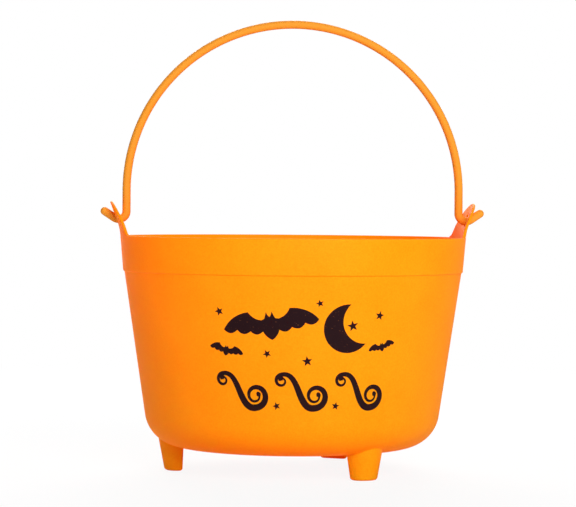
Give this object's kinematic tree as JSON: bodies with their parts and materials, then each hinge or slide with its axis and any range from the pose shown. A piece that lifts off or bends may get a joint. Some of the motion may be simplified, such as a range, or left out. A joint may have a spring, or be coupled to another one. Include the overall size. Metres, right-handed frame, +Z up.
{
  "type": "witch cauldron treat pail",
  "caption": "Round open plastic treat pail shaped like a witch cauldron, with short hollow feet, hooked ears above a plain rim band and a swinging arched rod bail.",
  "frame": {"origin": "on the table under the middle of the pail, the three soles at z = 0", "axes": "+Z up, the line through the two ears along X, the decorated front towards -Y"},
  "size_m": [0.223, 0.2, 0.26],
  "materials": {
    "pail_plastic": "satin, finely textured moulding",
    "bail_plastic": "smooth satin moulding"
  },
  "bodies": {
    "pail": {"pail_body": "pail_plastic"},
    "bail": {"bail_handle": "bail_plastic"}
  },
  "joints": [
    {"name": "bail_swing", "type": "hinge", "parent": "pail", "child": "bail", "pos_m": [0, 0, 0.1452], "axis": [1, 0, 0], "range_deg": [-90, 90]}
  ]
}
